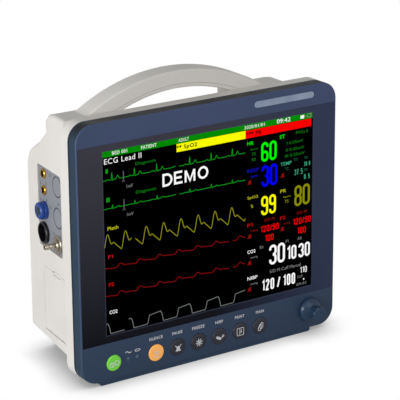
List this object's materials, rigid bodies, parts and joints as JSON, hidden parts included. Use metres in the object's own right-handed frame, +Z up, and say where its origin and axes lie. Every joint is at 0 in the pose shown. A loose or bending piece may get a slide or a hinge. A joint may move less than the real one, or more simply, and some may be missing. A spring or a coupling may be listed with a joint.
{
  "type": "patient monitor",
  "caption": "Bedside patient monitor: flat screen in a dark bezel, white rear shell with an arched handle, side sensor sockets, front keys and a knob.",
  "frame": {"origin": "centre of the four threaded inserts in the underside, on the underside's plane", "axes": "+X to the viewer's right, +Y from the screen to the back, +Z up"},
  "size_m": [0.3115, 0.1475, 0.293],
  "materials": {
    "bezel_navy": "fine satin moulded plastic",
    "shell_white": "fine-grained moulded plastic",
    "screen_glass": "dark tinted cover glass",
    "display": "black display",
    "seal_rubber": "matt rubber",
    "alarm_lens": "frosted translucent",
    "lamp_lens": "translucent blue",
    "key_dark": "soft-touch",
    "key_green": "satin",
    "key_orange": "satin",
    "knob_navy": "soft-touch",
    "panel_grey": "satin",
    "jack_gold": "gold plated",
    "socket_blue": "gloss",
    "socket_grey": "satin",
    "socket_black": "gloss",
    "nickel": "nickel plated",
    "steel": "zinc plated",
    "aluminium": "extruded",
    "circuit_green": "solder resist",
    "battery_black": "satin",
    "tube_clear": "soft tube",
    "paper": "thermal paper roll",
    "brass": "turned",
    "inner_black": "moulded"
  },
  "bodies": {
    "monitor": {"front_bezel": "bezel_navy", "front_glass": "screen_glass", "glass_gasket": "seal_rubber", "lcd_panel": "display", "lcd_bracket": "steel", "alarm_lens": "alarm_lens", "alarm_led_board": "circuit_green", "indicator_lenses": "lamp_lens", "key_board": "circuit_green", "key_switches": "inner_black", "encoder_housing": "steel", "shell_gasket": "seal_rubber", "rear_shell": "shell_white", "handle_upper": "shell_white", "handle_lower": "shell_white", "connector_panel": "panel_grey", "temp_jack_1": "jack_gold", "temp_jack_2": "jack_gold", "spo2_ring": "socket_blue", "spo2_insert": "socket_grey", "ecg_socket": "socket_black", "ecg_pins": "jack_gold", "nibp_fitting": "nickel", "blank_plugs": "panel_grey", "battery_pack": "battery_black", "recorder_housing": "shell_white", "recorder_motor": "steel", "print_head": "aluminium", "chassis_plate": "steel", "mainboard": "circuit_green", "parameter_board": "circuit_green", "power_supply": "aluminium", "nibp_pump": "steel", "air_tube": "tube_clear", "speaker": "inner_black", "ribbon_cable": "socket_grey", "rear_panel": "steel", "ac_inlet": "inner_black", "fuse_caps": "inner_black", "ground_post": "nickel", "network_ports": "steel", "rubber_feet": "seal_rubber", "case_screws": "steel", "base_inserts": "brass"},
    "power_key": {"power_key": "key_green"},
    "silence_key": {"silence_key": "key_orange"},
    "pause_key": {"pause_key": "key_dark"},
    "freeze_key": {"freeze_key": "key_dark"},
    "nibp_key": {"nibp_key": "key_dark"},
    "print_key": {"print_key": "key_dark"},
    "main_key": {"main_key": "key_dark"},
    "encoder_rotor": {"encoder_rotor": "inner_black"},
    "knob": {"knob": "knob_navy", "encoder_shaft": "steel"},
    "battery_door": {"battery_door": "shell_white"},
    "recorder_door": {"recorder_door": "shell_white"},
    "paper_roll": {"paper_roll": "paper"},
    "platen": {"platen_roller": "seal_rubber", "platen_gear": "inner_black"},
    "motor_pinion": {"motor_pinion": "brass"}
  },
  "joints": [
    {"name": "power_key_press", "type": "slide", "parent": "monitor", "child": "power_key", "axis": [0, 1, 0], "range_m": [0, 0.001], "stiffness_N_per_m": 400},
    {"name": "silence_key_press", "type": "slide", "parent": "monitor", "child": "silence_key", "axis": [0, 1, 0], "range_m": [0, 0.001], "stiffness_N_per_m": 400},
    {"name": "pause_key_press", "type": "slide", "parent": "monitor", "child": "pause_key", "axis": [0, 1, 0], "range_m": [0, 0.001], "stiffness_N_per_m": 400},
    {"name": "freeze_key_press", "type": "slide", "parent": "monitor", "child": "freeze_key", "axis": [0, 1, 0], "range_m": [0, 0.001], "stiffness_N_per_m": 400},
    {"name": "nibp_key_press", "type": "slide", "parent": "monitor", "child": "nibp_key", "axis": [0, 1, 0], "range_m": [0, 0.001], "stiffness_N_per_m": 400},
    {"name": "print_key_press", "type": "slide", "parent": "monitor", "child": "print_key", "axis": [0, 1, 0], "range_m": [0, 0.001], "stiffness_N_per_m": 400},
    {"name": "main_key_press", "type": "slide", "parent": "monitor", "child": "main_key", "axis": [0, 1, 0], "range_m": [0, 0.001], "stiffness_N_per_m": 400},
    {"name": "knob_turn", "type": "hinge", "parent": "monitor", "child": "encoder_rotor", "pos_m": [0.12, -0.074, 0.021], "axis": [0, -1, 0], "continuous": true},
    {"name": "knob_press", "type": "slide", "parent": "encoder_rotor", "child": "knob", "axis": [0, 1, 0], "range_m": [0, 0.0006], "stiffness_N_per_m": 600},
    {"name": "battery_door_hinge", "type": "hinge", "parent": "monitor", "child": "battery_door", "pos_m": [-0.14571, -0.04106, 0.0332], "axis": [-0.0991, -0.9951, 0], "range_deg": [0, 90]},
    {"name": "recorder_door_hinge", "type": "hinge", "parent": "monitor", "child": "recorder_door", "pos_m": [0.14445, -0.0244, 0.1002], "axis": [-0.0991, 0.9951, 0], "range_deg": [0, 90]},
    {"name": "paper_roll_turn", "type": "hinge", "parent": "monitor", "child": "paper_roll", "pos_m": [0.11918, -0.01687, 0.1161], "axis": [0.0991, -0.9951, 0], "continuous": true},
    {"name": "platen_turn", "type": "hinge", "parent": "monitor", "child": "platen", "pos_m": [0.13411, -0.01539, 0.149], "axis": [0.0991, -0.9951, 0], "continuous": true},
    {"name": "motor_pinion_turn", "type": "hinge", "parent": "monitor", "child": "motor_pinion", "pos_m": [0.12366, -0.01643, 0.149], "axis": [0.0991, -0.9951, 0], "continuous": true}
  ],
  "couplings": [
    {"joint": "motor_pinion_turn", "follows": "platen_turn", "ratio": -2}
  ]
}
